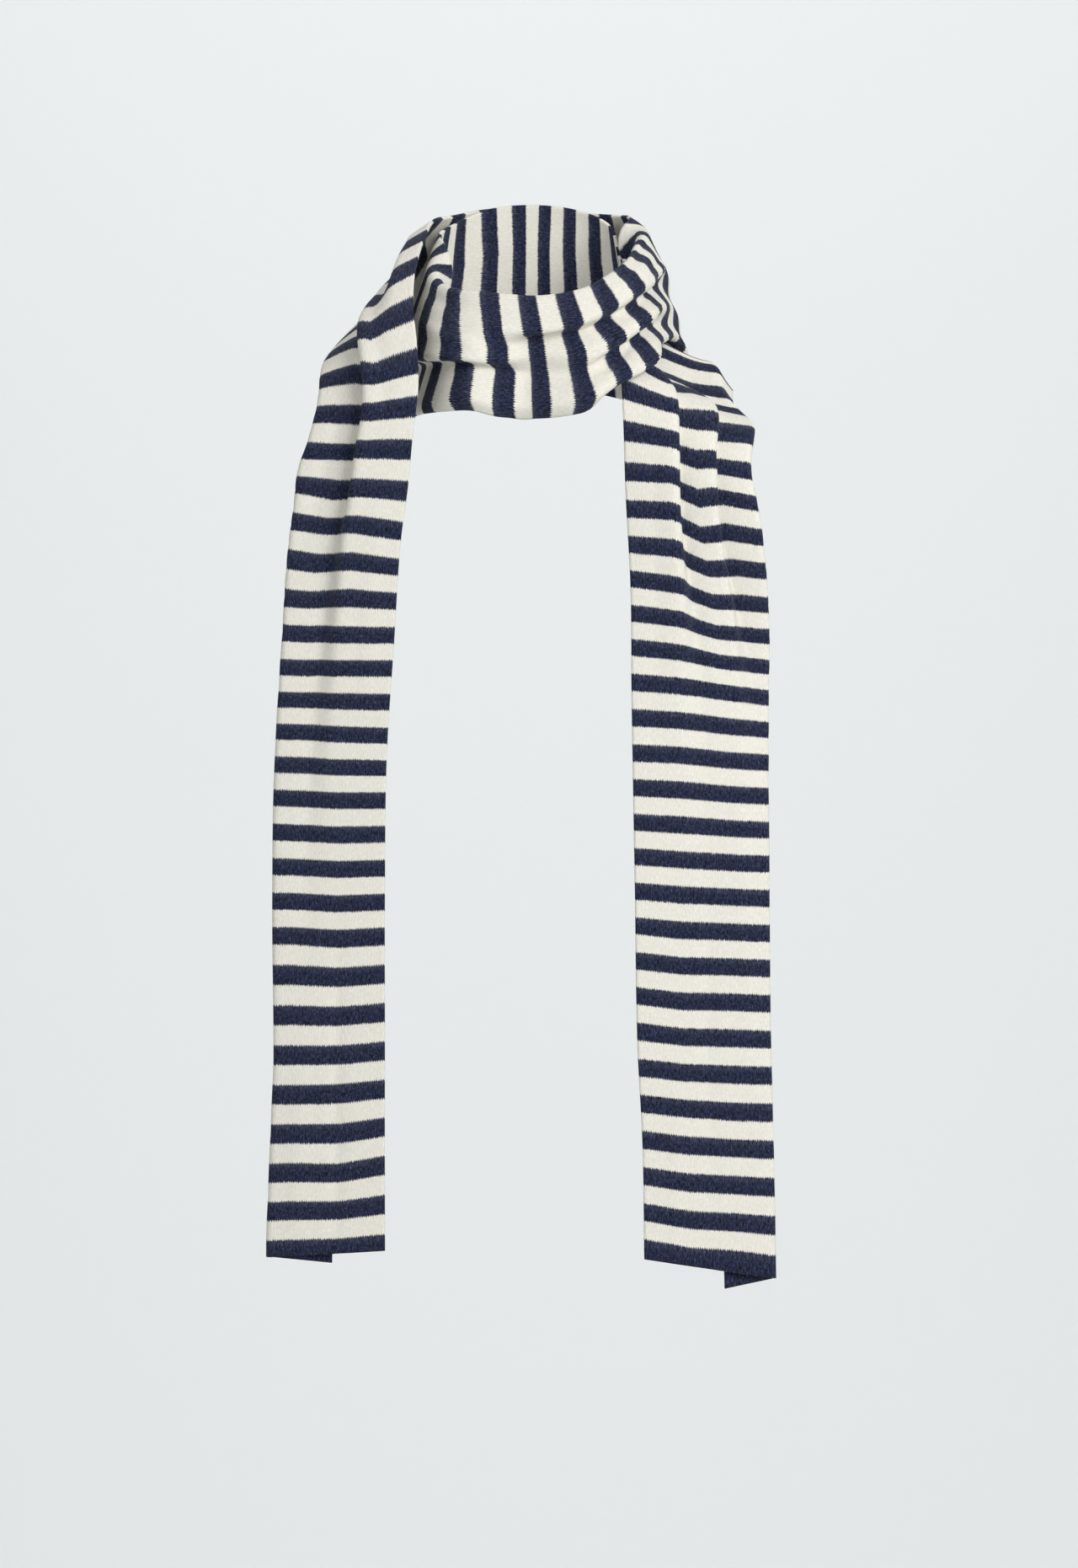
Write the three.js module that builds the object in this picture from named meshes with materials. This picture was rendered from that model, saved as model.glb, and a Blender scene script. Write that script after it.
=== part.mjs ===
// A knitted scarf wound one and a half times round the neck, with both ends hanging down the front.
// Millimetres. +X is the viewer's right, -Y is towards the viewer, +Z is up.
// The origin is the middle of the neck loop, level with the front of its rim.
import * as THREE from 'three';

// Driving dimensions of the cloth
const CLOTH_WIDTH = 148;
const WALL = 2.6;
const SEAM_GAP = 0.3;

// How the cloth bends: the length of cloth in one bend, and the flat cloth between the two bends of a pleat
const PLEAT_BEND = 10;
const PLEAT_FLAT = 5;
const RIM_BEND = 16;
const TURN_BEND = 11;

// Mesh steps
const PROFILE_STEP = 1;
const TANGENT_STEP = 0.5;
const FLAT_WEIGHT = 0.07;
const BEND_WEIGHT = 1.7;

const NAVY = 0x2a2c4d;
const CREAM = 0xeeeadd;
const ROUGHNESS = 0.95;

// Each row is one section across the scarf, from the right hem, round the neck, to the left hem.
// x y z     where the section's reference point lies
// az lean   which way the cloth runs from its upper edge to its lower edge: az is the compass angle
//           (0 front, 90 right, 180 back, 270 left, then on), lean is the angle from straight down
// ref       how far the reference point lies from the upper edge, measured in the cloth
// rim       how far the upper edge is turned down inside the neck, in degrees
// fold1 at1 angle of the first pleat and its distance from the upper edge
// fold2 at2 the same for the second pleat
// turn tat  angle through which the lower edge is turned back behind the face, and where
// cant      outward lean of the face between its pleats
// curl      how much the face curves away over its whole width
const COLUMNS = [
  'x', 'y', 'z', 'az', 'lean', 'ref', 'rim', 'fold1', 'at1', 'fold2', 'at2', 'turn', 'tat', 'cant', 'curl',
];

const RIGHT_TAIL = [
  [86.3, -100, -750, 96, 81, 0, 0, 0, 36, 0, 82, 178, 101, 0, 8],
  [84.8, -101, -660, 96, 84.5, 0, 0, 0, 36, 0, 82, 178, 100, 0, 8],
  [80.7, -102, -580, 97, 86.5, 0, 0, 0, 36, 0, 82, 178, 101.5, 0, 8],
  [78.6, -105, -460, 98, 87, 0, 0, 0, 36, 0, 82, 178, 102.5, 0, 8],
  [77.1, -109, -381, 99, 86, 0, 0, 8, 36, 10, 82, 178, 104, 1, 8],
  [75.6, -113, -301, 100, 84, 0, 0, 30, 36, 35, 82, 175, 110, 4, 8],
  [74.8, -117, -222, 101, 81, 0, 0, 70, 36, 80, 82, 168, 124, 11, 10],
  [70.8, -118, -144, 101, 78, 0, 0, 106, 37, 110, 83, 155, 135, 17, 12],
  [69.5, -111, -100, 101, 75, 0, 0, 110, 38, 115, 84, 140, 131, 19, 10],
];

const RIGHT_SHOULDER = [
  [68, -99, -65, 103, 73, 0, 0, 86, 38, 98, 84, 112, 128, 16, 0],
  [67.2, -81, -28, 105, 68, 0, 0, 62, 28, 46, 84, 88, 128, 3, -36],
  [63.4, -57, 2, 103, 64, 0, 0, 60, 16, 8, 84, 68, 125, -2, -78],
  [70.5, -31, 25, 100, 62, 0, 0, 48, 19, 4, 84, 66, 113, -3, -86],
  [71.5, -3, 38, 99, 52, 0, 0, 40, 19, 8, 84, 66, 112, -3, -74],
  [68, 27, 42, 108, 30, 0, 0, 20, 24, 4, 84, 40, 118, 0, -40],
];

const BACK_INNER = [
  [60, 51, 68, 136, 14, 0, 0, 0, 40, 0, 84, 0, 138, 0, -4],
  [34, 68, 81, 159, 9, 0, 0, 0, 44, 0, 84, 0, 138, 0, 4],
  [0, 74, 85.5, 180, 6, 0, 0, 0, 48, 0, 86, 0, 138, 0, 4],
  [-34, 68, 82.5, 200, 7, 0, 0, 0, 50, 0, 88, 0, 138, 0, 4],
  [-61, 51, 71, 222, 8, 0, 0, 0, 52, 0, 90, 0, 138, 0, 4],
];

const LEFT_SIDE = [
  [-76, 25, 58, 246, 9, 4, 10, 0, 60, 0, 84, 0, 138, 2, 6],
  [-81, -6, 43, 268, 10, 12, 40, 20, 60, 50, 85, 15, 138, 6, 8],
  [-81, -38, 28, 292, 10, 20, 95, 20, 60, 95, 86, 40, 138, 10, 8],
];

const FRONT_COWL = [
  [-74, -64, 17, 318, 11, 26, 140, 15, 60, 120, 86, 60, 138, 13, 8],
  [-64, -80, 12, 334, 12, 27, 160, 10, 60, 128, 86, 70, 135, 14, 8],
  [-49, -92, 9.4, 344, 13, 27, 172, 10, 60, 130, 86, 70, 131, 15, 8],
  [-23, -98, 6.6, 353, 14, 27, 175, 62, 58, 114, 85, 70, 130.5, 15, 8],
  [3, -100, 5.2, 361, 15, 27, 175, 118, 57, 62, 86, 70, 130, 13, 8],
  [36, -94, 10.6, 378, 19, 27, 175, 116, 56, 58, 90, 70, 131, 15, 8],
  [56, -81, 21, 396, 24, 28, 172, 114, 55, 94, 91, 115, 132, 19, 8],
  [73, -59, 35, 408, 29, 30, 165, 108, 56, 109, 91, 162, 137.5, 20, 6],
  [80, -31, 47, 424, 29, 33, 162, 88, 57, 88, 92, 170, 124, 12, -20],
];

const BACK_OUTER = [
  [85, 0, 57, 450, 26, 33, 150, 48, 60, 48, 92, 170, 118, 6, -24],
  [86, 33, 66, 468, 21, 12, 50, 16, 56, 16, 90, 150, 121, 3, -6],
  [70, 64, 72, 496, 15, 5, 16, 0, 50, 0, 88, 30, 130, 2, 2],
  [37, 80, 80, 520, 9, 0, 0, 0, 40, 0, 86, 0, 134, 0, 4],
  [0, 86, 83.5, 540, 7, 0, 0, 0, 34, 0, 82, 0, 130, 0, 4],
  [-37, 80, 82.5, 560, 11, 0, 0, 0, 28, 0, 76, 0, 124, 0, 8],
];

const LEFT_SHOULDER = [
  [-66, 62, 76, 586, 23, 0, 0, 30, 22, 0, 66, 10, 116, 2, 14],
  [-81, 33, 71, 610, 34, 0, 0, 75, 17, 15, 56, 50, 112, 7, 34],
  [-87, 2, 58, 620, 40, 0, 0, 95, 14, 40, 50, 100, 110, 10, 42],
  [-92, -28, 41, 620, 45, 0, 0, 80, 14, 70, 46, 130, 107, 12, 46],
  [-95, -58, 21, 619, 49, 0, 0, 45, 14, 95, 44, 150, 101, 13, 42],
  [-95, -88, -3, 616, 54, 0, 0, 10, 14, 105, 42, 160, 99, 13, 34],
  [-92, -112, -30, 613, 61, 0, 0, 0, 14, 108, 41, 165, 102, 11, 24],
];

const LEFT_TAIL = [
  [-90.5, -127, -66, 612, 69, 0, 0, 0, 14, 105, 40, 170, 106, 10, 18],
  [-94.5, -131, -100, 612, 76, 0, 0, 0, 14, 95, 40, 172, 105, 9, 13],
  [-98.7, -132, -144, 614, 82, 0, 0, 0, 14, 85, 40, 175, 100, 8, 10],
  [-104, -131, -183, 616, 86, 0, 0, 0, 14, 70, 40, 178, 95, 6, 8],
  [-109.5, -126, -262, 620, 88.5, 0, 0, 0, 14, 40, 40, 178, 88, 3, 8],
  [-115.7, -118, -354, 621, 88, 0, 0, 0, 14, 12, 40, 178, 84.5, 1, 8],
  [-117.4, -112, -460, 622, 87, 0, 0, 0, 14, 0, 40, 178, 84.5, 0, 8],
  [-117.7, -108, -580, 622, 86, 0, 0, 0, 14, 0, 40, 178, 84, 0, 8],
  [-118, -104, -660, 622, 86, 0, 0, 0, 14, 0, 40, 178, 87, 0, 8],
  [-118, -102, -743, 622, 86, 0, 0, 0, 14, 0, 40, 178, 90, 0, 8],
];

// The stretches in order along the cloth: colour, distance between sections and number of strips across
const STRETCHES = [
  { name: 'right_tail', rows: RIGHT_TAIL, colour: NAVY, step: 48, across: 22 },
  { name: 'right_shoulder', rows: RIGHT_SHOULDER, colour: CREAM, step: 14, across: 22 },
  { name: 'back_inner', rows: BACK_INNER, colour: NAVY, step: 16, across: 10 },
  { name: 'left_side', rows: LEFT_SIDE, colour: CREAM, step: 11, across: 22 },
  { name: 'front_cowl', rows: FRONT_COWL, colour: NAVY, step: 10, across: 28 },
  { name: 'back_outer', rows: BACK_OUTER, colour: CREAM, step: 14, across: 20 },
  { name: 'left_shoulder', rows: LEFT_SHOULDER, colour: NAVY, step: 14, across: 20 },
  { name: 'left_tail', rows: LEFT_TAIL, colour: CREAM, step: 48, across: 18 },
];

const radians = THREE.MathUtils.degToRad;

// One smooth curve for each column of the table, against distance along the reference points
const rows = STRETCHES.flatMap((stretch) => stretch.rows);
const stations = [0];
for (let i = 1; i < rows.length; i += 1) {
  const [x0, y0, z0] = rows[i - 1];
  const [x1, y1, z1] = rows[i];
  stations.push(stations[i - 1] + Math.hypot(x1 - x0, y1 - y0, z1 - z0));
}

// Slopes that pass smoothly through the values, and never overshoot them where level is true
function slopes(values, level) {
  return values.map((value, i) => {
    if (i === 0 || i === values.length - 1) return 0;
    const before = (value - values[i - 1]) / (stations[i] - stations[i - 1]);
    const after = (values[i + 1] - value) / (stations[i + 1] - stations[i]);
    if (!level) return (before + after) / 2;
    return before * after > 0 ? (2 * before * after) / (before + after) : 0;
  });
}

const curves = Object.fromEntries(COLUMNS.map((name, column) => {
  const values = rows.map((row) => row[column]);
  const isPlace = ['x', 'y', 'z', 'az'].includes(name);
  return [name, { values, slopes: slopes(values, !isPlace) }];
}));
for (const name of ['x', 'y', 'z']) {
  const { values, slopes: rates } = curves[name];
  const last = values.length - 1;
  rates[0] = (values[1] - values[0]) / stations[1];
  rates[last] = (values[last] - values[last - 1]) / (stations[last] - stations[last - 1]);
}

function hermite(curve, i, t) {
  const span = stations[i + 1] - stations[i];
  const s2 = t * t;
  const s3 = s2 * t;
  return (2 * s3 - 3 * s2 + 1) * curve.values[i] + (s3 - 2 * s2 + t) * span * curve.slopes[i]
    + (3 * s2 - 2 * s3) * curve.values[i + 1] + (s3 - s2) * span * curve.slopes[i + 1];
}

function sectionAt(distance) {
  const end = stations.length - 2;
  let i = 0;
  while (i < end && distance > stations[i + 1]) i += 1;
  const t = (distance - stations[i]) / (stations[i + 1] - stations[i]);
  return Object.fromEntries(COLUMNS.map((name) => [name, hermite(curves[name], i, t)]));
}

// A smooth step from 0 to 1 that starts at a given place and takes a given length
function step(v, start, length) {
  const t = THREE.MathUtils.clamp((v - start) / length, 0, 1);
  return t * t * (3 - 2 * t);
}

function pleat(v, at, angle) {
  const second = at + PLEAT_BEND + PLEAT_FLAT;
  return -angle * (step(v, at, PLEAT_BEND) - step(v, second, PLEAT_BEND));
}

// The direction of the cloth across its width, in degrees: 0 runs on, 90 comes out, -90 goes in
function heading(section, v) {
  const rim = section.rim * (1 - step(v, section.ref - RIM_BEND / 2, RIM_BEND));
  const face = section.cant - section.curl * (v / CLOTH_WIDTH - 0.5);
  const pleats = pleat(v, section.at1, section.fold1) + pleat(v, section.at2, section.fold2);
  return rim + face + pleats - section.turn * step(v, section.tat, TURN_BEND);
}

// The cloth's path across its width, from the reference point, and where its mesh lines go
function profile(section, strips) {
  const count = Math.round(CLOTH_WIDTH / PROFILE_STEP);
  const run = [0];
  const out = [0];
  const weight = [0];
  for (let i = 0; i < count; i += 1) {
    const middle = radians(heading(section, (i + 0.5) * PROFILE_STEP));
    const bend = radians(heading(section, (i + 1) * PROFILE_STEP) - heading(section, i * PROFILE_STEP));
    run.push(run[i] + Math.cos(middle) * PROFILE_STEP);
    out.push(out[i] + Math.sin(middle) * PROFILE_STEP);
    weight.push(weight[i] + FLAT_WEIGHT * PROFILE_STEP + BEND_WEIGHT * Math.abs(bend));
  }
  const at = (list, v) => {
    const i = Math.min(Math.floor(v / PROFILE_STEP), count - 1);
    return THREE.MathUtils.lerp(list[i], list[i + 1], v / PROFILE_STEP - i);
  };
  const lines = [];
  for (let j = 0, i = 0; j <= strips; j += 1) {
    const wanted = (weight[count] * j) / strips;
    while (i < count - 1 && weight[i + 1] < wanted) i += 1;
    lines.push((i + (wanted - weight[i]) / (weight[i + 1] - weight[i])) * PROFILE_STEP);
  }
  const origin = { run: at(run, section.ref), out: at(out, section.ref) };
  return { lines, point: (v) => [at(run, v) - origin.run, at(out, v) - origin.out] };
}

// The points of one section. The cloth keeps its slant to the path while it is folded across it.
function sectionPoints(distance, strips) {
  const section = sectionAt(distance);
  const before = sectionAt(distance - TANGENT_STEP);
  const after = sectionAt(distance + TANGENT_STEP);
  const along = new THREE.Vector3(after.x - before.x, after.y - before.y, after.z - before.z).normalize();
  const az = radians(section.az);
  const lean = radians(section.lean);
  const across = new THREE.Vector3(Math.sin(az) * Math.sin(lean), -Math.cos(az) * Math.sin(lean), -Math.cos(lean));
  const slant = across.dot(along);
  const square = across.clone().addScaledVector(along, -slant);
  const squareLength = square.length();
  square.divideScalar(squareLength);
  const outward = square.clone().cross(along);
  const { lines, point } = profile(section, strips);
  return lines.map((v) => {
    const [run, out] = point(v);
    return new THREE.Vector3(section.x, section.y, section.z)
      .addScaledVector(along, slant * (v - section.ref))
      .addScaledVector(square, squareLength * run)
      .addScaledVector(outward, squareLength * out);
  });
}

// One section of the wall: its points, moved along the path by shift, and the directions out of its face
function wallSection(distance, strips, shift) {
  const before = sectionPoints(distance - TANGENT_STEP, strips);
  const points = sectionPoints(distance, strips);
  const after = sectionPoints(distance + TANGENT_STEP, strips);
  const normals = points.map((point, j) => {
    const across = points[Math.min(j + 1, strips)].clone().sub(points[Math.max(j - 1, 0)]);
    return across.cross(after[j].clone().sub(before[j])).normalize();
  });
  const here = sectionAt(distance);
  const next = sectionAt(distance + TANGENT_STEP);
  const along = new THREE.Vector3(next.x - here.x, next.y - here.y, next.z - here.z).normalize();
  return points.map((point, j) => ({ point: point.addScaledVector(along, shift), normal: normals[j] }));
}

// A closed wall of even thickness about a grid of points
function wall(grid) {
  const across = grid[0].length;
  const positions = [];
  for (const side of [WALL / 2, -WALL / 2]) {
    for (const { point, normal } of grid.flat()) {
      positions.push(...point.clone().addScaledVector(normal, side).toArray());
    }
  }
  const layer = grid.length * across;
  const index = [];
  const quad = (a, b, c, d) => index.push(a, b, c, a, c, d);
  for (let i = 0; i < grid.length - 1; i += 1) {
    for (let j = 0; j < across - 1; j += 1) {
      const a = i * across + j;
      quad(a, a + 1, a + across + 1, a + across);
      quad(layer + a, layer + a + across, layer + a + across + 1, layer + a + 1);
    }
  }
  for (let i = 0; i < grid.length - 1; i += 1) {
    const first = i * across;
    const last = first + across - 1;
    quad(first, first + across, layer + first + across, layer + first);
    quad(last, layer + last, layer + last + across, last + across);
  }
  const top = (grid.length - 1) * across;
  for (let j = 0; j < across - 1; j += 1) {
    quad(j, layer + j, layer + j + 1, j + 1);
    quad(top + j, top + j + 1, layer + top + j + 1, layer + top + j);
  }
  const geometry = new THREE.BufferGeometry();
  geometry.setAttribute('position', new THREE.Float32BufferAttribute(positions, 3));
  geometry.setIndex(index);
  geometry.computeVertexNormals();
  return geometry;
}

// A stretch of cloth runs from its own first row to the first row of the next stretch.
// At a seam both stretches end in the same section, moved apart by the seam gap.
function clothStretch(stretch, first, last) {
  const start = stations[first];
  const end = stations[last];
  const count = Math.round((end - start) / stretch.step);
  const sections = [];
  for (let i = 0; i <= count; i += 1) {
    let shift = 0;
    if (i === 0 && first > 0) shift = SEAM_GAP / 2;
    if (i === count && last < rows.length - 1) shift = -SEAM_GAP / 2;
    sections.push(wallSection(start + ((end - start) * i) / count, stretch.across, shift));
  }
  const material = new THREE.MeshStandardMaterial({ color: stretch.colour, roughness: ROUGHNESS, metalness: 0 });
  const mesh = new THREE.Mesh(wall(sections), material);
  mesh.name = stretch.name;
  return mesh;
}

const scarf = new THREE.Group();
let first = 0;
for (const stretch of STRETCHES) {
  const last = Math.min(first + stretch.rows.length, rows.length - 1);
  scarf.add(clothStretch(stretch, first, last));
  first = last;
}

export default scarf;
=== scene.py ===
"""A striped jersey-knit scarf, wound one and a half times round the neck, with both ends hanging in front.

The whole strip is one sheet of cloth. Its sections across, its folds and its turned-back edges come from a short
table, as the solids do, and its stripes follow the cloth's own length, so they bend and stretch with it.
"""
import logging
import math
from dataclasses import dataclass
from enum import Enum
from typing import Any

import bmesh
import bpy
import numpy as np
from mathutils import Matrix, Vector


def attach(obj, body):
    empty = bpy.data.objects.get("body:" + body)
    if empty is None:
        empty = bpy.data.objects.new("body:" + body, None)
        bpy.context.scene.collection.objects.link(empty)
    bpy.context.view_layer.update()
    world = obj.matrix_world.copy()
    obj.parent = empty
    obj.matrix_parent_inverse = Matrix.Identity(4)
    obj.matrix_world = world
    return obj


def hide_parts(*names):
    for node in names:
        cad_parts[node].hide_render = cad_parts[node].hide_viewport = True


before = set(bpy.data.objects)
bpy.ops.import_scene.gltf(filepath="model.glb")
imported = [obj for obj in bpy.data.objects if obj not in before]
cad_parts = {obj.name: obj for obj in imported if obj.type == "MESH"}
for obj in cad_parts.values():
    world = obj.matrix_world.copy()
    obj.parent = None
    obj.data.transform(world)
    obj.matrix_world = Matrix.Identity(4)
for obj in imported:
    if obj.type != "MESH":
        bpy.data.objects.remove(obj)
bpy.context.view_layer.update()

logging.basicConfig(level=logging.INFO, format="%(message)s")
log = logging.getLogger("scarf")

MM = 0.001
IMAGE_HEIGHT = 1861


class Column(Enum):
    """The columns of the section table, in order: lengths in millimetres, angles in degrees."""

    X = 0
    Y = 1
    Z = 2
    AZ = 3
    LEAN = 4
    REF = 5
    RIM = 6
    FOLD1 = 7
    AT1 = 8
    FOLD2 = 9
    AT2 = 10
    TURN = 11
    TAT = 12
    CANT = 13
    CURL = 14


PLACE_COLUMNS = (Column.X, Column.Y, Column.Z, Column.AZ)

# Each row is one section across the cloth, from the right hem, round the neck, to the left hem.
# x y z     where the section's reference point lies
# az lean   which way the cloth runs from its upper edge to its lower edge: az is the compass angle
#           (0 front, 90 right, 180 back, 270 left, then on), lean is the angle from straight down
# ref       how far the reference point lies from the upper edge, measured in the cloth
# rim       how far the upper edge is turned down inside the neck
# fold1 at1 angle of the first pleat and its distance from the upper edge
# fold2 at2 the same for the second pleat
# turn tat  angle through which the lower edge is turned back behind the face, and where
# cant      outward lean of the face between its pleats
# curl      how much the face curves away over its whole width
SECTIONS = (
    # right tail
    (86.3, -100, -750, 96, 81, 0, 0, 0, 36, 0, 82, 178, 101, 0, 8),
    (84.8, -101, -660, 96, 84.5, 0, 0, 0, 36, 0, 82, 178, 100, 0, 8),
    (80.7, -102, -580, 97, 86.5, 0, 0, 0, 36, 0, 82, 178, 101.5, 0, 8),
    (78.6, -105, -460, 98, 87, 0, 0, 0, 36, 0, 82, 178, 102.5, 0, 8),
    (77.1, -109, -381, 99, 86, 0, 0, 8, 36, 10, 82, 178, 104, 1, 8),
    (75.6, -113, -301, 100, 84, 0, 0, 30, 36, 35, 82, 175, 110, 4, 8),
    (74.8, -117, -222, 101, 81, 0, 0, 70, 36, 80, 82, 168, 124, 11, 10),
    (70.8, -118, -144, 101, 78, 0, 0, 106, 37, 110, 83, 155, 135, 17, 12),
    (69.5, -111, -100, 101, 75, 0, 0, 110, 38, 115, 84, 140, 131, 19, 10),
    # right shoulder
    (68, -99, -65, 103, 73, 0, 0, 86, 38, 98, 84, 112, 128, 16, 0),
    (67.2, -81, -28, 105, 68, 0, 0, 62, 28, 46, 84, 88, 128, 3, -36),
    (63.4, -57, 2, 103, 64, 0, 0, 60, 16, 8, 84, 68, 125, -2, -78),
    (70.5, -31, 25, 100, 62, 0, 0, 48, 19, 4, 84, 66, 113, -3, -86),
    (71.5, -3, 38, 99, 52, 0, 0, 40, 19, 8, 84, 66, 112, -3, -74),
    (68, 27, 42, 108, 30, 0, 0, 20, 24, 4, 84, 40, 118, 0, -40),
    # inner back
    (60, 51, 68, 136, 14, 0, 0, 0, 40, 0, 84, 0, 138, 0, -4),
    (34, 68, 81, 159, 9, 0, 0, 0, 44, 0, 84, 0, 138, 0, 4),
    (0, 74, 85.5, 180, 6, 0, 0, 0, 48, 0, 86, 0, 138, 0, 4),
    (-34, 68, 82.5, 200, 7, 0, 0, 0, 50, 0, 88, 0, 138, 0, 4),
    (-61, 51, 71, 222, 8, 0, 0, 0, 52, 0, 90, 0, 138, 0, 4),
    # left side
    (-76, 25, 58, 246, 9, 4, 10, 0, 60, 0, 84, 0, 138, 2, 6),
    (-81, -6, 43, 268, 10, 12, 40, 20, 60, 50, 85, 15, 138, 6, 8),
    (-81, -38, 28, 292, 10, 20, 95, 20, 60, 95, 86, 40, 138, 10, 8),
    # front cowl
    (-74, -64, 17, 318, 11, 26, 140, 15, 60, 120, 86, 60, 138, 13, 8),
    (-64, -80, 12, 334, 12, 27, 160, 10, 60, 128, 86, 70, 135, 14, 8),
    (-49, -92, 9.4, 344, 13, 27, 172, 10, 60, 130, 86, 70, 131, 15, 8),
    (-23, -98, 6.6, 353, 14, 27, 175, 62, 58, 114, 85, 70, 130.5, 15, 8),
    (3, -100, 5.2, 361, 15, 27, 175, 118, 57, 62, 86, 70, 130, 13, 8),
    (36, -94, 10.6, 378, 19, 27, 175, 116, 56, 58, 90, 70, 131, 15, 8),
    (56, -81, 21, 396, 24, 28, 172, 114, 55, 94, 91, 115, 132, 19, 8),
    (73, -59, 35, 408, 29, 30, 165, 108, 56, 109, 91, 162, 137.5, 20, 6),
    (80, -31, 47, 424, 29, 33, 162, 88, 57, 88, 92, 170, 124, 12, -20),
    # outer back
    (85, 0, 57, 450, 26, 33, 150, 48, 60, 48, 92, 170, 118, 6, -24),
    (86, 33, 66, 468, 21, 12, 50, 16, 56, 16, 90, 150, 121, 3, -6),
    (70, 64, 72, 496, 15, 5, 16, 0, 50, 0, 88, 30, 130, 2, 2),
    (37, 80, 80, 520, 9, 0, 0, 0, 40, 0, 86, 0, 134, 0, 4),
    (0, 86, 83.5, 540, 7, 0, 0, 0, 34, 0, 82, 0, 130, 0, 4),
    (-37, 80, 82.5, 560, 11, 0, 0, 0, 28, 0, 76, 0, 124, 0, 8),
    # left shoulder
    (-66, 62, 76, 586, 23, 0, 0, 30, 22, 0, 66, 10, 116, 2, 14),
    (-81, 33, 71, 610, 34, 0, 0, 75, 17, 15, 56, 50, 112, 7, 34),
    (-87, 2, 58, 620, 40, 0, 0, 95, 14, 40, 50, 100, 110, 10, 42),
    (-92, -28, 41, 620, 45, 0, 0, 80, 14, 70, 46, 130, 107, 12, 46),
    (-95, -58, 21, 619, 49, 0, 0, 45, 14, 95, 44, 150, 101, 13, 42),
    (-95, -88, -3, 616, 54, 0, 0, 10, 14, 105, 42, 160, 99, 13, 34),
    (-92, -112, -30, 613, 61, 0, 0, 0, 14, 108, 41, 165, 102, 11, 24),
    # left tail
    (-90.5, -127, -66, 612, 69, 0, 0, 0, 14, 105, 40, 170, 106, 10, 18),
    (-94.5, -131, -100, 612, 76, 0, 0, 0, 14, 95, 40, 172, 105, 9, 13),
    (-98.7, -132, -144, 614, 82, 0, 0, 0, 14, 85, 40, 175, 100, 8, 10),
    (-104, -131, -183, 616, 86, 0, 0, 0, 14, 70, 40, 178, 95, 6, 8),
    (-109.5, -126, -262, 620, 88.5, 0, 0, 0, 14, 40, 40, 178, 88, 3, 8),
    (-115.7, -118, -354, 621, 88, 0, 0, 0, 14, 12, 40, 178, 84.5, 1, 8),
    (-117.4, -112, -460, 622, 87, 0, 0, 0, 14, 0, 40, 178, 84.5, 0, 8),
    (-117.7, -108, -580, 622, 86, 0, 0, 0, 14, 0, 40, 178, 84, 0, 8),
    (-118, -104, -660, 622, 86, 0, 0, 0, 14, 0, 40, 178, 87, 0, 8),
    (-118, -102, -743, 622, 86, 0, 0, 0, 14, 0, 40, 178, 90, 0, 8),
)

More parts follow.
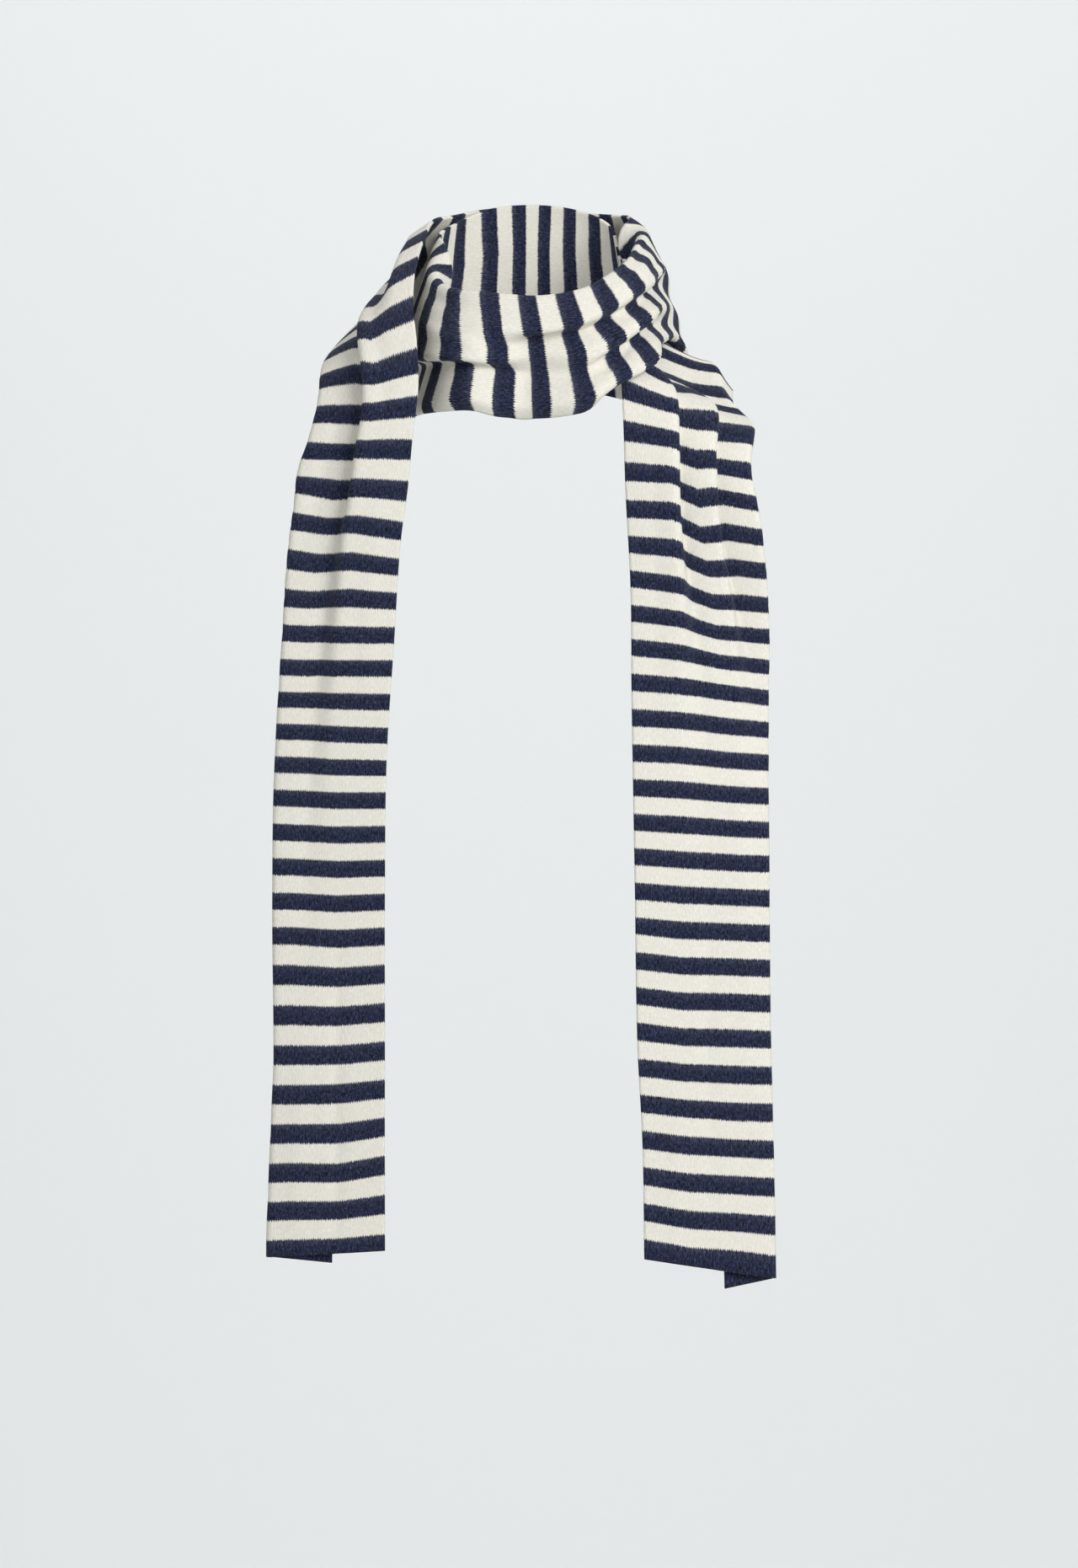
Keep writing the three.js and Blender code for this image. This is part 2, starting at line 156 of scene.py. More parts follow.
# Where the stripes lie, set from places measured on the photograph: distance along the cloth in millimetres,
# then the number of stripe pairs from the right hem at five places across, evenly spaced from the upper edge to the
# lower edge. The knit is drawn out and gathered as it hangs, and the folds drag it, so the pairs are neither quite
# even nor quite square.
STRIPES = (
    (0, 0.28, 0.28, 0.28, 0.28, 0.28),
    (18, 0.8, 0.85, 0.75, 0.75, 0.7),
    (36, 1.45, 1.5, 1.4, 1.35, 1.25),
    (122, 4.45, 4.5, 4.5, 4.45, 4.35),
    (206, 7.4, 7.5, 7.45, 7.45, 7.4),
    (290, 10.45, 10.5, 10.5, 10.5, 10.4),
    (400, 14.5, 14.45, 14.5, 14.5, 14.45),
    (457, 16.55, 16.5, 16.55, 16.6, 16.55),
    (483, 17.5, 17.45, 17.6, 17.6, 17.55),
    (511, 18.55, 18.5, 18.75, 18.65, 18.55),
    (538, 19.55, 19.5, 19.8, 19.6, 19.5),
    (566, 20.6, 20.45, 20.8, 20.5, 20.4),
    (595, 21.65, 21.45, 21.85, 21.45, 21.4),
    (624, 22.65, 22.5, 22.8, 22.4, 22.4),
    (652, 23.5, 23.5, 23.65, 23.45, 23.4),
    (680, 24.3, 24.5, 24.5, 24.35, 24.2),
    (706, 25.0, 25.45, 25.05, 24.95, 24.8),
    (736, 25.9, 26.4, 25.75, 25.55, 25.4),
    (800, 28.4, 28.6, 28.2, 28.1, 27.9),
    (920, 33.6, 33.45, 33.45, 33.45, 33.45),
    (942, 34.55, 34.45, 34.45, 34.45, 34.45),
    (962, 35.55, 35.45, 35.45, 35.45, 35.45),
    (981, 36.45, 36.5, 36.5, 36.5, 36.5),
    (1005, 37.4, 37.55, 37.55, 37.55, 37.55),
    (1037, 38.45, 38.5, 38.5, 38.5, 38.5),
    (1055, 39.4, 39.4, 39.4, 39.4, 39.4),
    (1177, 43.9, 43.85, 43.6, 43.65, 43.7),
    (1205, 45.0, 44.85, 44.6, 44.5, 44.5),
    (1232, 45.95, 45.75, 45.55, 45.45, 45.45),
    (1262, 46.95, 46.8, 46.6, 46.45, 46.4),
    (1296, 48.05, 47.95, 47.75, 47.45, 47.4),
    (1313, 48.6, 48.55, 48.4, 48.05, 47.95),
    (1328, 49.15, 49.15, 48.9, 48.5, 48.45),
    (1350, 50.0, 49.95, 49.7, 49.5, 49.5),
    (1378, 51.0, 50.85, 50.5, 50.3, 50.2),
    (1439, 53.0, 53.0, 52.8, 52.8, 52.8),
    (1620, 60.2, 60.2, 60.2, 60.2, 60.2),
    (1656, 61.45, 61.35, 61.4, 61.4, 61.4),
    (1705, 62.55, 62.25, 62.5, 62.5, 62.5),
    (1755, 63.55, 63.2, 63.9, 64.1, 64.2),
    (1815, 64.55, 64.4, 64.95, 65.2, 65.6),
    (1866, 65.5, 65.55, 66.15, 66.6, 67.1),
    (1896, 66.35, 66.55, 66.95, 67.4, 67.9),
    (1928, 67.3, 67.55, 67.85, 68.2, 68.5),
    (1962, 68.35, 68.6, 68.75, 69.15, 69.5),
    (1994, 69.35, 69.65, 69.75, 70.05, 70.3),
    (2021, 70.3, 70.55, 70.55, 70.8, 71.0),
    (2050, 71.4, 71.55, 71.5, 71.65, 71.75),
    (2077, 72.4, 72.45, 72.5, 72.6, 72.65),
    (2104, 73.45, 73.5, 73.5, 73.6, 73.6),
    (2156, 75.4, 75.5, 75.6, 75.65, 75.65),
    (2208, 77.45, 77.5, 77.6, 77.7, 77.7),
    (2316, 81.5, 81.5, 81.65, 81.7, 81.7),
    (2437, 85.5, 85.45, 85.5, 85.55, 85.55),
    (2499, 87.55, 87.4, 87.5, 87.5, 87.5),
    (2552, 89.25, 89.2, 89.25, 89.25, 89.25),
    (2566, 89.65, 89.65, 89.65, 89.65, 89.65),
)

# Soft creases of the hanging cloth: distance along and place across where each one starts and ends,
# its half width and its height, in millimetres. A height below 0 is a trough.
CREASES = (
    (30, 52, 330, 60, 7, -1.3),
    (90, 92, 400, 84, 8, 1.1),
    (0, 24, 150, 30, 6, 0.8),
    (430, 18, 640, 24, 7, -0.9),
    (380, 66, 560, 72, 7, 1.0),
    (700, 14, 800, 30, 7, 1.2),
    (905, 26, 1050, 40, 10, -1.0),
    (1150, 36, 1235, 50, 6, -1.6),
    (1172, 62, 1236, 84, 5, 2.0),
    (1180, 96, 1250, 92, 5, -2.6),
    (1190, 112, 1262, 104, 6, 1.6),
    (1240, 74, 1320, 60, 5, -1.6),
    (1262, 112, 1345, 120, 7, -1.6),
    (1292, 104, 1392, 96, 4, 2.2),
    (1310, 122, 1400, 108, 5, -2.0),
    (1318, 46, 1400, 50, 5, 1.8),
    (1330, 84, 1420, 74, 5, -2.0),
    (1345, 36, 1410, 40, 4, -1.8),
    (1352, 66, 1424, 62, 4, 1.8),
    (1430, 60, 1560, 84, 12, 1.5),
    (1480, 110, 1640, 96, 12, -1.5),
    (1800, 34, 1905, 26, 7, -1.2),
    (1840, 84, 2010, 88, 8, -1.5),
    (1960, 22, 2150, 18, 7, 0.9),
    (2120, 58, 2330, 64, 8, -1.1),
    (2330, 37, 2566, 39, 6, -1.6),
    (2390, 66, 2566, 70, 8, 1.0),
)


def linear(hex_colour: str) -> tuple[float, float, float, float]:
    """Turn an sRGB hex colour into the linear colour that the shader takes.

    Args:
        hex_colour: six hex digits, with or without a leading #.

    Returns:
        Red, green, blue and alpha, linear, from 0 to 1.
    """
    digits = hex_colour.lstrip("#")
    channels = [int(digits[i:i + 2], 16) / 255 for i in (0, 2, 4)]
    flat = [c / 12.92 if c <= 0.04045 else ((c + 0.055) / 1.055) ** 2.4 for c in channels]
    return (*flat, 1.0)


def add_node(tree: bpy.types.NodeTree, kind: str, settings: dict[str, Any] | None = None,
             links: dict[Any, Any] | None = None) -> bpy.types.Node:
    """Add one node with its settings, and fill its inputs.

    Args:
        tree: the node tree that gets the node.
        kind: the node's type name, such as ShaderNodeMath.
        settings: properties of the node itself.
        links: for each input, by name or number, a socket to link, a node whose first output is linked, or a value.

    Returns:
        The new node.
    """
    node = tree.nodes.new(kind)
    for name, value in (settings or {}).items():
        setattr(node, name, value)
    for key, value in (links or {}).items():
        source = value.outputs[0] if isinstance(value, bpy.types.Node) else value
        if isinstance(source, bpy.types.NodeSocket):
            tree.links.new(source, node.inputs[key])
        else:
            node.inputs[key].default_value = source
    return node


def smooth_step(v: np.ndarray | float, start: float, length: float) -> np.ndarray:
    """Rise smoothly from 0 to 1.

    Args:
        v: distances.
        start: where the rise starts.
        length: the length that it takes.

    Returns:
        The height at each distance.
    """
    t = np.clip((v - start) / length, 0.0, 1.0)
    return t * t * (3 - 2 * t)


@dataclass
class ClothPath:
    """The path of the cloth: every column of the section table as a smooth curve against distance."""

    rows: tuple[tuple[float, ...], ...] = SECTIONS

    def __post_init__(self) -> None:
        """Work out the distance of each row along the cloth and the slope of each column there."""
        self.values = np.array(self.rows, dtype=float)
        steps = np.linalg.norm(np.diff(self.values[:, :3], axis=0), axis=1)
        self.stations = np.concatenate([[0.0], np.cumsum(steps)])
        self.slopes = np.zeros_like(self.values)
        rates = np.diff(self.values, axis=0) / steps[:, None]
        for column in Column:
            k = column.value
            before, after = rates[:-1, k], rates[1:, k]
            if column in PLACE_COLUMNS:
                self.slopes[1:-1, k] = (before + after) / 2
            else:
                same = before * after > 0
                total = np.where(same, before + after, 1.0)
                self.slopes[1:-1, k] = np.where(same, 2 * before * after / total, 0.0)
        self.slopes[0, :3] = rates[0, :3]
        self.slopes[-1, :3] = rates[-1, :3]

    @property
    def length(self) -> float:
        """Length of the cloth in millimetres."""
        return float(self.stations[-1])

    def at(self, distance: float) -> np.ndarray:
        """Read the table at one distance.

        Args:
            distance: millimetres along the cloth from the right hem.

        Returns:
            One value for each column.
        """
        last = len(self.stations) - 2
        i = int(np.clip(np.searchsorted(self.stations, distance) - 1, 0, last))
        span = self.stations[i + 1] - self.stations[i]
        t = (distance - self.stations[i]) / span
        s2, s3 = t * t, t * t * t
        return ((2 * s3 - 3 * s2 + 1) * self.values[i] + (s3 - 2 * s2 + t) * span * self.slopes[i]
                + (3 * s2 - 2 * s3) * self.values[i + 1] + (s3 - s2) * span * self.slopes[i + 1])


@dataclass
class ScarfCloth:
    """The knitted strip: its sizes in millimetres, its shape round the neck and its mesh.

    A crease fades in and out beyond its two ends, by shares of its own length.
    """

    width: float = 148.0
    wall: float = 2.6
    pleat_bend: float = 10.0
    pleat_flat: float = 5.0
    rim_bend: float = 16.0
    turn_bend: float = 11.0
    step_along: float = 4.0
    strips: int = 64
    tangent_step: float = 0.5
    section_step: float = 1.0
    fade_start: float = -0.25
    fade_end: float = 0.65
    fade_length: float = 0.6

    def __post_init__(self) -> None:
        """Lay out the path and the lines across the cloth."""
        self.path = ClothPath()
        self.across = np.linspace(0.0, self.width, self.strips + 1)

    def pleat(self, v: np.ndarray, at: float, angle: float) -> np.ndarray:
        """Turn the cloth inwards and back again.

        Args:
            v: distances from the upper edge.
            at: where the pleat starts.
            angle: how far it turns.

        Returns:
            The change of direction at each distance, in degrees.
        """
        second = at + self.pleat_bend + self.pleat_flat
        return -angle * (smooth_step(v, at, self.pleat_bend) - smooth_step(v, second, self.pleat_bend))

    def heading(self, row: np.ndarray, v: np.ndarray) -> np.ndarray:
        """Give the direction of the cloth across its width.

        Args:
            row: the section's values.
            v: distances from the upper edge.

        Returns:
            Degrees: 0 runs on, 90 comes out, -90 goes in.
        """
        ref, rim = row[Column.REF.value], row[Column.RIM.value]
        turned = rim * (1 - smooth_step(v, ref - self.rim_bend / 2, self.rim_bend))
        face = row[Column.CANT.value] - row[Column.CURL.value] * (v / self.width - 0.5)
        first = self.pleat(v, row[Column.AT1.value], row[Column.FOLD1.value])
        second = self.pleat(v, row[Column.AT2.value], row[Column.FOLD2.value])
        back = row[Column.TURN.value] * smooth_step(v, row[Column.TAT.value], self.turn_bend)
        return turned + face + first + second - back

    def section(self, distance: float) -> np.ndarray:
        """Place the points of one section across the cloth.

        Args:
            distance: millimetres along the cloth.

        Returns:
            One point for each line of the mesh, in metres.
        """
        row = self.path.at(distance)
        ahead = self.path.at(distance + self.tangent_step)[:3] - self.path.at(distance - self.tangent_step)[:3]
        along = ahead / np.linalg.norm(ahead)
        az, lean = math.radians(row[Column.AZ.value]), math.radians(row[Column.LEAN.value])
        down = np.array([math.sin(az) * math.sin(lean), -math.cos(az) * math.sin(lean), -math.cos(lean)])
        slant = float(down @ along)
        square = down - along * slant
        scale = float(np.linalg.norm(square))
        square /= scale
        outward = np.cross(square, along)
        half_step = self.section_step / 2
        fine = np.arange(0.0, self.width + half_step, self.section_step)
        angles = np.radians(self.heading(row, fine[:-1] + half_step))
        run = np.concatenate([[0.0], np.cumsum(np.cos(angles))]) * self.section_step
        out = np.concatenate([[0.0], np.cumsum(np.sin(angles))]) * self.section_step
        ref = row[Column.REF.value]
        run_here = np.interp(self.across, fine, run) - np.interp(ref, fine, run)
        out_here = np.interp(self.across, fine, out) - np.interp(ref, fine, out)
        points = (row[:3] + np.outer(self.across - ref, along * slant)
                  + np.outer(run_here, square * scale) + np.outer(out_here, outward * scale))
        return points * MM

    def relaxed(self, distances: np.ndarray) -> np.ndarray:
        """Give the length of knit, as it lay flat, from the right hem to each point of the mesh.

        Args:
            distances: millimetres along the cloth.

        Returns:
            One row for each distance and one column for each line of the mesh, in metres.
        """
        table = np.array(STRIPES, dtype=float)
        columns = [np.interp(distances, table[:, 0], values) for values in table[:, 1:].T]
        places = np.linspace(0.0, self.width, len(columns))
        pairs = np.array([np.interp(self.across, places, values) for values in np.transpose(columns)])
        return pairs * KNIT.stripe_pair * MM

    def crease(self, points: np.ndarray, distances: np.ndarray) -> np.ndarray:
        """Press the soft creases into the sheet, along its own normals.

        Args:
            points: the sheet's points in metres, one row for each distance.
            distances: millimetres along the cloth.

        Returns:
            The moved points.
        """
        normals = np.cross(np.gradient(points, axis=1), np.gradient(points, axis=0))
        normals /= np.linalg.norm(normals, axis=2, keepdims=True)
        height = np.zeros(points.shape[:2])
        for start, start_v, end, end_v, half_width, rise in CREASES:
            t = (distances - start) / (end - start)
            fade_in = smooth_step(t, self.fade_start, self.fade_length)
            fade_out = 1 - smooth_step(t, self.fade_end, self.fade_length)
            line = start_v + (end_v - start_v) * t
            swell = np.exp(-((self.across[None, :] - line[:, None]) / half_width) ** 2)
            height += rise * MM * (fade_in * fade_out)[:, None] * swell
        return points + normals * height[:, :, None]

    def build(self) -> bpy.types.Object:
        """Make the sheet from one flat grid, laid along its path, with its own lengths as its UV map.

        Returns:
            The cloth, a sheet with a live thickness.
        """
        count = round(self.path.length / self.step_along)
        distances = np.linspace(0.0, self.path.length, count + 1)
        points = self.crease(np.array([self.section(distance) for distance in distances]), distances)
        relaxed = self.relaxed(distances)
        bm = bmesh.new()
        uv_layer = bm.loops.layers.uv.new("cloth")
        bmesh.ops.create_grid(bm, x_segments=count, y_segments=self.strips, size=0.5)
        for vertex in bm.verts:
            i = round((vertex.co.x + 0.5) * count)
            j = round((vertex.co.y + 0.5) * self.strips)
            vertex.index = i * (self.strips + 1) + j
            vertex.co = Vector(points[i, j])
        for face in bm.faces:
            for loop in face.loops:
                i, j = divmod(loop.vert.index, self.strips + 1)
                loop[uv_layer].uv = (relaxed[i, j], self.across[j] * MM)
            face.smooth = True
        mesh = bpy.data.meshes.new("scarf_cloth")
        bm.to_mesh(mesh)
        bm.free()
        piece = bpy.data.objects.new("scarf_cloth", mesh)
        bpy.context.scene.collection.objects.link(piece)
        thickness = piece.modifiers.new("thickness", "SOLIDIFY")
        thickness.thickness = self.wall * MM
        thickness.offset = 0.0
        thickness.use_even_offset = True
        return piece


# A fine lambswool-like jersey, brushed after it was knitted: matt all over, with soft zigzag edges between the
# stripes, lighter fibres in the navy and a pale haze of cream ones over the upper part of each navy stripe.
@dataclass(frozen=True)
class JerseyKnit:
    """The brushed jersey and its stripes. Sizes are in millimetres, noises in repeats a metre.

    Wale is the pitch of the zigzag that shows along the stripes' edges. Real wool fibres are too fine to show, so
    their noise is drawn about a millimetre wide and three long.
    """

    navy: str = "#0A0F1E"
    navy_light: str = "#3A4163"
    cream: str = "#F6F3EA"
    cream_deep: str = "#E6E2D5"
    haze_tint: str = "#9397AB"
    stripe_pair: float = 28.7
    wale: float = 1.8
    course: float = 1.5
    tooth: float = 1.2
    edge_wander: float = 2.4
    edge_blur: float = 1.3
    haze: float = 0.2
    half_length: float = 1300.0
    grain_stretch: tuple[float, float, float] = (0.4, 1.2, 1.0)
    edge_noise: float = 420.0
    fibre_noise: float = 750.0
    patch_noise: float = 60.0
    heather_range: tuple[float, float] = (0.42, 0.68)
    haze_range: tuple[float, float] = (0.02, 0.27)
    tuft_range: tuple[float, float] = (0.36, 0.7)
    loop_dip: float = 0.3
    stitch_height: float = 0.6
    fibre_height: float = 0.6
    patch_height: float = 0.8
    relief: float = 0.6
    relief_strength: float = 0.5
    sheen: float = 0.05
    sheen_roughness: float = 0.6
    roughness: float = 0.95
    ior: float = 1.45
    specular: float = 0.2

    def material(self) -> bpy.types.Material:
        """Build the knit's material on the cloth's own UV map.

        Returns:
            The material.
        """
        material = bpy.data.materials.new("brushed jersey knit")
        material.use_nodes = True
        tree = material.node_tree
        tree.nodes.clear()

        kind, flat, colours = "ShaderNodeMath", {"noise_dimensions": "2D"}, {"data_type": "RGBA"}
        times, plus, both = {"operation": "MULTIPLY"}, {"operation": "ADD"}, {"operation": "MULTIPLY_ADD"}
        less, wave, smooth = {"operation": "SUBTRACT"}, {"operation": "PINGPONG"}, {"interpolation_type": "SMOOTHSTEP"}
        uv = add_node(tree, "ShaderNodeUVMap", {"uv_map": "cloth"})
        parts = add_node(tree, "ShaderNodeSeparateXYZ", None, {0: uv})
        along, across = parts.outputs[0], parts.outputs[1]
        # one tooth of the stripe's edge for each column of stitches
        wales = add_node(tree, kind, times, {0: across, 1: 1 / (self.wale * MM)})
        half_tooth = add_node(tree, kind, wave, {0: wales, 1: 0.5})
        tooth = add_node(tree, kind, times, {0: half_tooth, 1: 2.0})
        # the nap is brushed along the cloth, so its grain is long that way and fine across
        grain = add_node(tree, "ShaderNodeMapping", None, {"Vector": uv, "Scale": self.grain_stretch})
        wander = add_node(tree, "ShaderNodeTexNoise", flat,
                          {"Vector": grain, "Scale": self.edge_noise, "Detail": 3.0, "Roughness": 0.75})
        centred = add_node(tree, kind, less, {0: along, 1: (self.tooth + self.edge_wander) * MM / 2})
        shifted = add_node(tree, kind, both, {0: tooth, 1: self.tooth * MM, 2: centred})
        edge = add_node(tree, kind, both, {0: wander, 1: self.edge_wander * MM, 2: shifted})
        pairs = add_node(tree, kind, times, {0: edge, 1: 1 / (self.stripe_pair * MM)})
        band = add_node(tree, kind, wave, {0: pairs, 1: 0.5})
        blur = self.edge_blur / self.stripe_pair / 2
        stripe = add_node(tree, "ShaderNodeMapRange", smooth,
                          {"Value": band, "From Min": 0.25 - blur, "From Max": 0.25 + blur})
        # the two legs of each stitch
        arch = add_node(tree, kind, both, {0: tooth, 1: self.course * MM, 2: along})
        courses = add_node(tree, kind, times, {0: arch, 1: 2 * math.pi / (self.course * MM)})
        rise = add_node(tree, kind, {"operation": "COSINE"}, {0: courses})
        loop = add_node(tree, kind, both, {0: rise, 1: self.loop_dip, 2: 1 - self.loop_dip})
        turn = add_node(tree, kind, times, {0: tooth, 1: math.pi})
        leg = add_node(tree, kind, {"operation": "SINE"}, {0: turn})
        stitch = add_node(tree, kind, times, {0: leg, 1: loop})
        # fibres: a fine felted noise, and slow patches where the nap lies differently
        fibres = add_node(tree, "ShaderNodeTexNoise", flat,
                          {"Vector": grain, "Scale": self.fibre_noise, "Detail": 4.0, "Roughness": 0.8,
                           "Distortion": 0.6})
        patches = add_node(tree, "ShaderNodeTexNoise", flat,
                           {"Vector": uv, "Scale": self.patch_noise, "Detail": 3.0})
        low, high = self.heather_range
        heather = add_node(tree, "ShaderNodeMapRange", None, {"Value": fibres, "From Min": low, "From Max": high})
        navy = add_node(tree, "ShaderNodeMix", colours,
                        {"Factor": heather, "A": linear(self.navy), "B": linear(self.navy_light)})
        cream = add_node(tree, "ShaderNodeMix", colours,
                         {"Factor": heather, "A": linear(self.cream_deep), "B": linear(self.cream)})
        # cream fibres brushed down over the upper part of each navy stripe, on both hanging ends
        right = add_node(tree, kind, {"operation": "LESS_THAN"}, {0: along, 1: self.half_length * MM})
        downhill = add_node(tree, kind, both, {0: right, 1: 2.0, 2: -1.0})
        phase = add_node(tree, kind, {"operation": "FRACT"}, {0: pairs})
        from_middle = add_node(tree, kind, less, {0: phase, 1: 0.5})
        upward = add_node(tree, kind, times, {0: from_middle, 1: downhill})
        low, high = self.haze_range
        near_edge = add_node(tree, "ShaderNodeMapRange", smooth, {"Value": upward, "From Min": low, "From Max": high})
        low, high = self.tuft_range
        tufts = add_node(tree, "ShaderNodeMapRange", None,
                         {"Value": wander, "From Min": low, "From Max": high, "To Max": self.haze})
        haze = add_node(tree, kind, times, {0: near_edge, 1: tufts})
        hazy = add_node(tree, "ShaderNodeMix", colours,
                        {"Factor": haze, "A": navy.outputs[2], "B": linear(self.haze_tint)})
        knit = add_node(tree, "ShaderNodeMix", colours,
                        {"Factor": stripe, "A": cream.outputs[2], "B": hazy.outputs[2]})
        # relief: the stitches, the fibres and the slow patches, one on top of the other
        stitches = add_node(tree, kind, times, {0: stitch, 1: self.stitch_height})
        felt = add_node(tree, kind, times, {0: fibres, 1: self.fibre_height})
        swell = add_node(tree, kind, times, {0: patches, 1: self.patch_height})
        fine = add_node(tree, kind, plus, {0: stitches, 1: felt})
        height = add_node(tree, kind, plus, {0: fine, 1: swell})
        bump = add_node(tree, "ShaderNodeBump", None, {
            "Strength": self.relief_strength, "Distance": self.relief * MM, "Height": height,
        })
        shader = add_node(tree, "ShaderNodeBsdfPrincipled", None, {
            "Base Color": knit.outputs[2], "Roughness": self.roughness, "Normal": bump,
            "Sheen Weight": self.sheen, "Sheen Roughness": self.sheen_roughness, "IOR": self.ior,
            "Specular IOR Level": self.specular,
        })
        add_node(tree, "ShaderNodeOutputMaterial", None, {"Surface": shader})
        return material


KNIT = JerseyKnit()


@dataclass(frozen=True)
class PlainFinish:
    """One even, matt finish."""

    name: str
    colour: str
    roughness: float = 0.9

    def material(self) -> bpy.types.Material:
        """Build the finish's material.

        Returns:
            The material.
        """
        material = bpy.data.materials.new(self.name)
        material.use_nodes = True
        shader = material.node_tree.nodes["Principled BSDF"]
        shader.inputs["Base Color"].default_value = linear(self.colour)
        shader.inputs["Roughness"].default_value = self.roughness
        return material


# Single wool fibres that stand off the knit: pale and matt, so the dark stripes look faintly frosted.
WOOL_FIBRE = PlainFinish("fine pale wool fibre", "#A9ACBC")
# Studio paint, rolled on: an even, cool off-white without a highlight.
STUDIO_PAINT = PlainFinish("pale painted backdrop", "#EEF0F0")


@dataclass
class Nap:
    """The brushed-up fibres: short, fine hairs that lie over both faces and soften every edge. Sizes in metres."""

    length: float = 0.0026
    radius: float = 0.000032
    per_square_metre: float = 80000.0
    least_lift: float = 0.75
    most_lift: float = 1.45
    sides: int = 3
    seed: int = 7

    def build(self, cloth: bpy.types.Object) -> bpy.types.Object:
        """Scatter fibres over the cloth with live nodes.

        Args:
            cloth: the sheet that carries the fibres.

        Returns:
            The fibres, as one mesh.
        """
        tree = bpy.data.node_groups.new("nap", "GeometryNodeTree")
        tree.interface.new_socket("Geometry", in_out="OUTPUT", socket_type="NodeSocketGeometry")
        source = add_node(tree, "GeometryNodeObjectInfo", None, {"Object": cloth})
        spread = add_node(tree, "GeometryNodeDistributePointsOnFaces", None, {
            "Mesh": source.outputs["Geometry"], "Density": self.per_square_metre, "Seed": self.seed,
        })
        fibre = add_node(tree, "GeometryNodeMeshCone", {"fill_type": "NONE"}, {
            "Vertices": self.sides, "Radius Top": 0.0, "Radius Bottom": self.radius, "Depth": self.length,
        })
        tilt = add_node(tree, "FunctionNodeRandomValue", {"data_type": "FLOAT_VECTOR"}, {
            0: (self.least_lift, 0.0, 0.0), 1: (self.most_lift, 0.0, 2 * math.pi), "Seed": self.seed,
        })
        lean = add_node(tree, "FunctionNodeEulerToRotation", None, {0: tilt.outputs[0]})
        turned = add_node(tree, "FunctionNodeRotateRotation", {"rotation_space": "LOCAL"}, {
            0: spread.outputs["Rotation"], 1: lean.outputs[0],
        })
        placed = add_node(tree, "GeometryNodeInstanceOnPoints", None, {
            "Points": spread.outputs["Points"], "Instance": fibre.outputs["Mesh"], "Rotation": turned.outputs[0],
        })
        joined = add_node(tree, "GeometryNodeRealizeInstances", None, {0: placed.outputs[0]})
        painted = add_node(tree, "GeometryNodeSetMaterial", None, {
            0: joined.outputs[0], "Material": WOOL_FIBRE.material(),
        })
        add_node(tree, "NodeGroupOutput", None, {0: painted.outputs[0]})
        piece = bpy.data.objects.new("scarf_nap", bpy.data.meshes.new("scarf_nap"))
        bpy.context.scene.collection.objects.link(piece)
        piece.modifiers.new("nap", "NODES").node_group = tree
        return piece


@dataclass(frozen=True)
class Softbox:
    """One square soft light: where it hangs, the side of its face, its power and the point that it looks at."""

    name: str
    place: tuple[float, float, float]
    size: float
    watts: float
    aim: tuple[float, float, float]

    def build(self) -> None:
        """Hang the light and turn it towards its aim."""
        data = bpy.data.lights.new(self.name, "AREA")
        data.size = self.size
        data.energy = self.watts
        light = bpy.data.objects.new(self.name, data)
        light.location = self.place
        light.rotation_euler = (Vector(self.aim) - Vector(self.place)).to_track_quat("-Z", "Y").to_euler()
        bpy.context.scene.collection.objects.link(light)


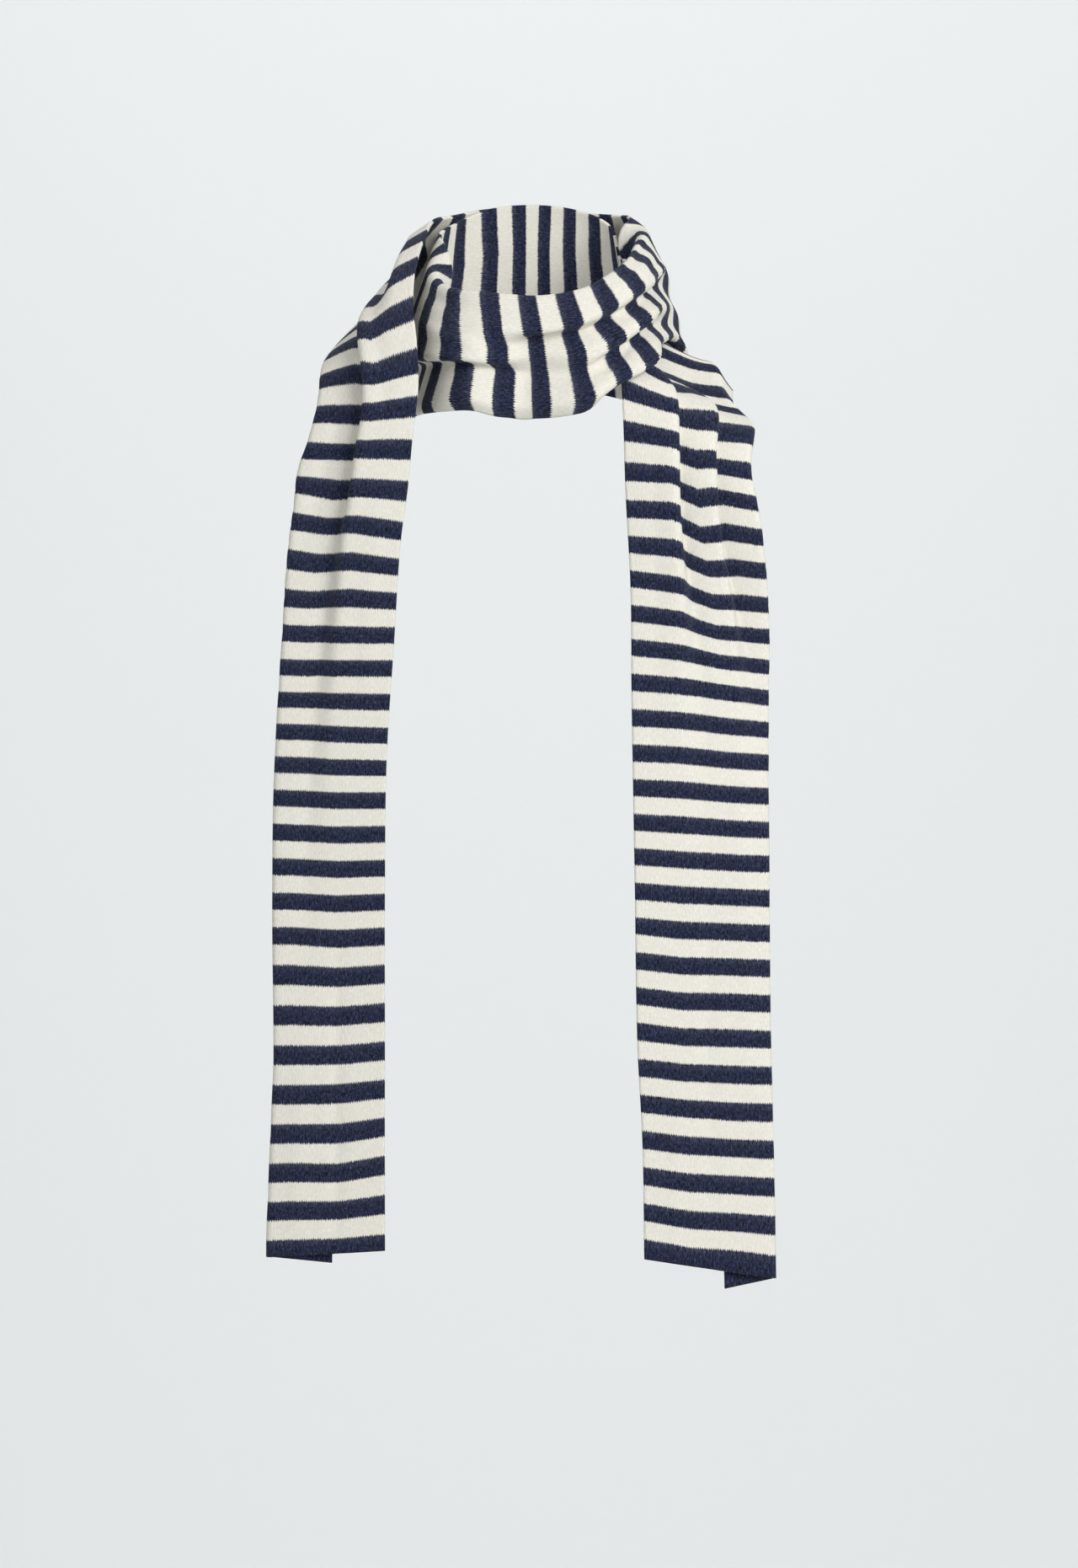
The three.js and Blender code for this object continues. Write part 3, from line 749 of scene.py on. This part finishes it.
@dataclass
class Studio:
    """A pale sweep of floor and wall, soft lights and the camera. Sizes in metres, angles in degrees."""

    floor_level: float = -2.3
    floor_half: float = 6.0
    wall_height: float = 8.0
    sweep_radius: float = 2.5
    sweep_steps: int = 24
    edge_slack: float = 0.1
    target: tuple[float, float, float] = (0.003333, -0.060, -0.3773)
    distance: float = 4.5
    elevation: float = 3.0
    pixels_per_distance: float = 6750.0
    sensor: float = 36.0
    far_limit: float = 50.0
    air_colour: str = "#EDF0F1"
    air_strength: float = 0.42

    def camera(self) -> None:
        """Put the camera at the photograph's height and distance."""
        data = bpy.data.cameras.new("camera")
        data.sensor_width = self.sensor
        data.lens = self.sensor * self.pixels_per_distance / IMAGE_HEIGHT
        data.clip_end = self.far_limit
        camera = bpy.data.objects.new("camera", data)
        tilt = math.radians(self.elevation)
        back = Vector((0.0, -math.cos(tilt), math.sin(tilt)))
        camera.location = Vector(self.target) + back * self.distance
        camera.rotation_euler = (math.radians(90.0) - tilt, 0.0, 0.0)
        bpy.context.scene.collection.objects.link(camera)
        bpy.context.scene.camera = camera

    def backdrop(self) -> bpy.types.Object:
        """Sweep the floor up into a wall far behind.

        Returns:
            The backdrop.
        """
        bm = bmesh.new()
        bmesh.ops.create_grid(bm, x_segments=1, y_segments=1, size=self.floor_half)
        near_wall = self.floor_half - self.edge_slack
        far = [edge for edge in bm.edges if all(vertex.co.y > near_wall for vertex in edge.verts)]
        made = bmesh.ops.extrude_edge_only(bm, edges=far)
        for vertex in (item for item in made["geom"] if isinstance(item, bmesh.types.BMVert)):
            vertex.co.z += self.wall_height
        corner = [edge for edge in bm.edges
                  if all(vertex.co.y > near_wall and vertex.co.z < self.edge_slack for vertex in edge.verts)]
        bmesh.ops.bevel(bm, geom=corner, offset=self.sweep_radius, segments=self.sweep_steps, profile=0.5,
                        affect="EDGES", material=-1)
        bmesh.ops.translate(bm, verts=bm.verts[:], vec=(0.0, 0.0, self.floor_level))
        for face in bm.faces:
            face.smooth = True
        bmesh.ops.recalc_face_normals(bm, faces=bm.faces[:])
        mesh = bpy.data.meshes.new("backdrop")
        bm.to_mesh(mesh)
        bm.free()
        mesh.materials.append(STUDIO_PAINT.material())
        sweep = bpy.data.objects.new("backdrop", mesh)
        bpy.context.scene.collection.objects.link(sweep)
        return sweep

    def air(self) -> None:
        """Fill the studio with a little even light."""
        world = bpy.data.worlds.new("studio air")
        world.use_nodes = True
        background = world.node_tree.nodes["Background"]
        background.inputs["Color"].default_value = linear(self.air_colour)
        background.inputs["Strength"].default_value = self.air_strength
        bpy.context.scene.world = world

    def build(self) -> None:
        """Set the stage, the lights and the camera, with colours shown as they are."""
        self.backdrop()
        Softbox("key", (2.1, -2.9, 1.2), 1.8, 104.0, self.target).build()
        Softbox("fill", (-2.4, -2.8, 0.4), 2.2, 21.0, self.target).build()
        Softbox("top", (0.0, 0.6, 2.6), 2.0, 9.0, self.target).build()
        Softbox("wall", (0.0, 1.2, 2.9), 3.0, 139.0, (0.0, 6.0, 0.6)).build()
        self.air()
        bpy.context.scene.view_settings.view_transform = "Standard"
        self.camera()


def main() -> None:
    """Build the scarf and its studio, and report each piece."""
    Studio().build()
    cloth = ScarfCloth()
    piece = cloth.build()
    piece.data.materials.append(KNIT.material())
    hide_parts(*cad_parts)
    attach(piece, "root")
    nap = Nap().build(piece)
    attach(nap, "root")
    log.info("%s: a strip %.0f by %.0f mm", piece.name, cloth.width, cloth.path.length)
    log.info("%s: fibres over the whole strip", nap.name)


if __name__ == "__main__":
    main()
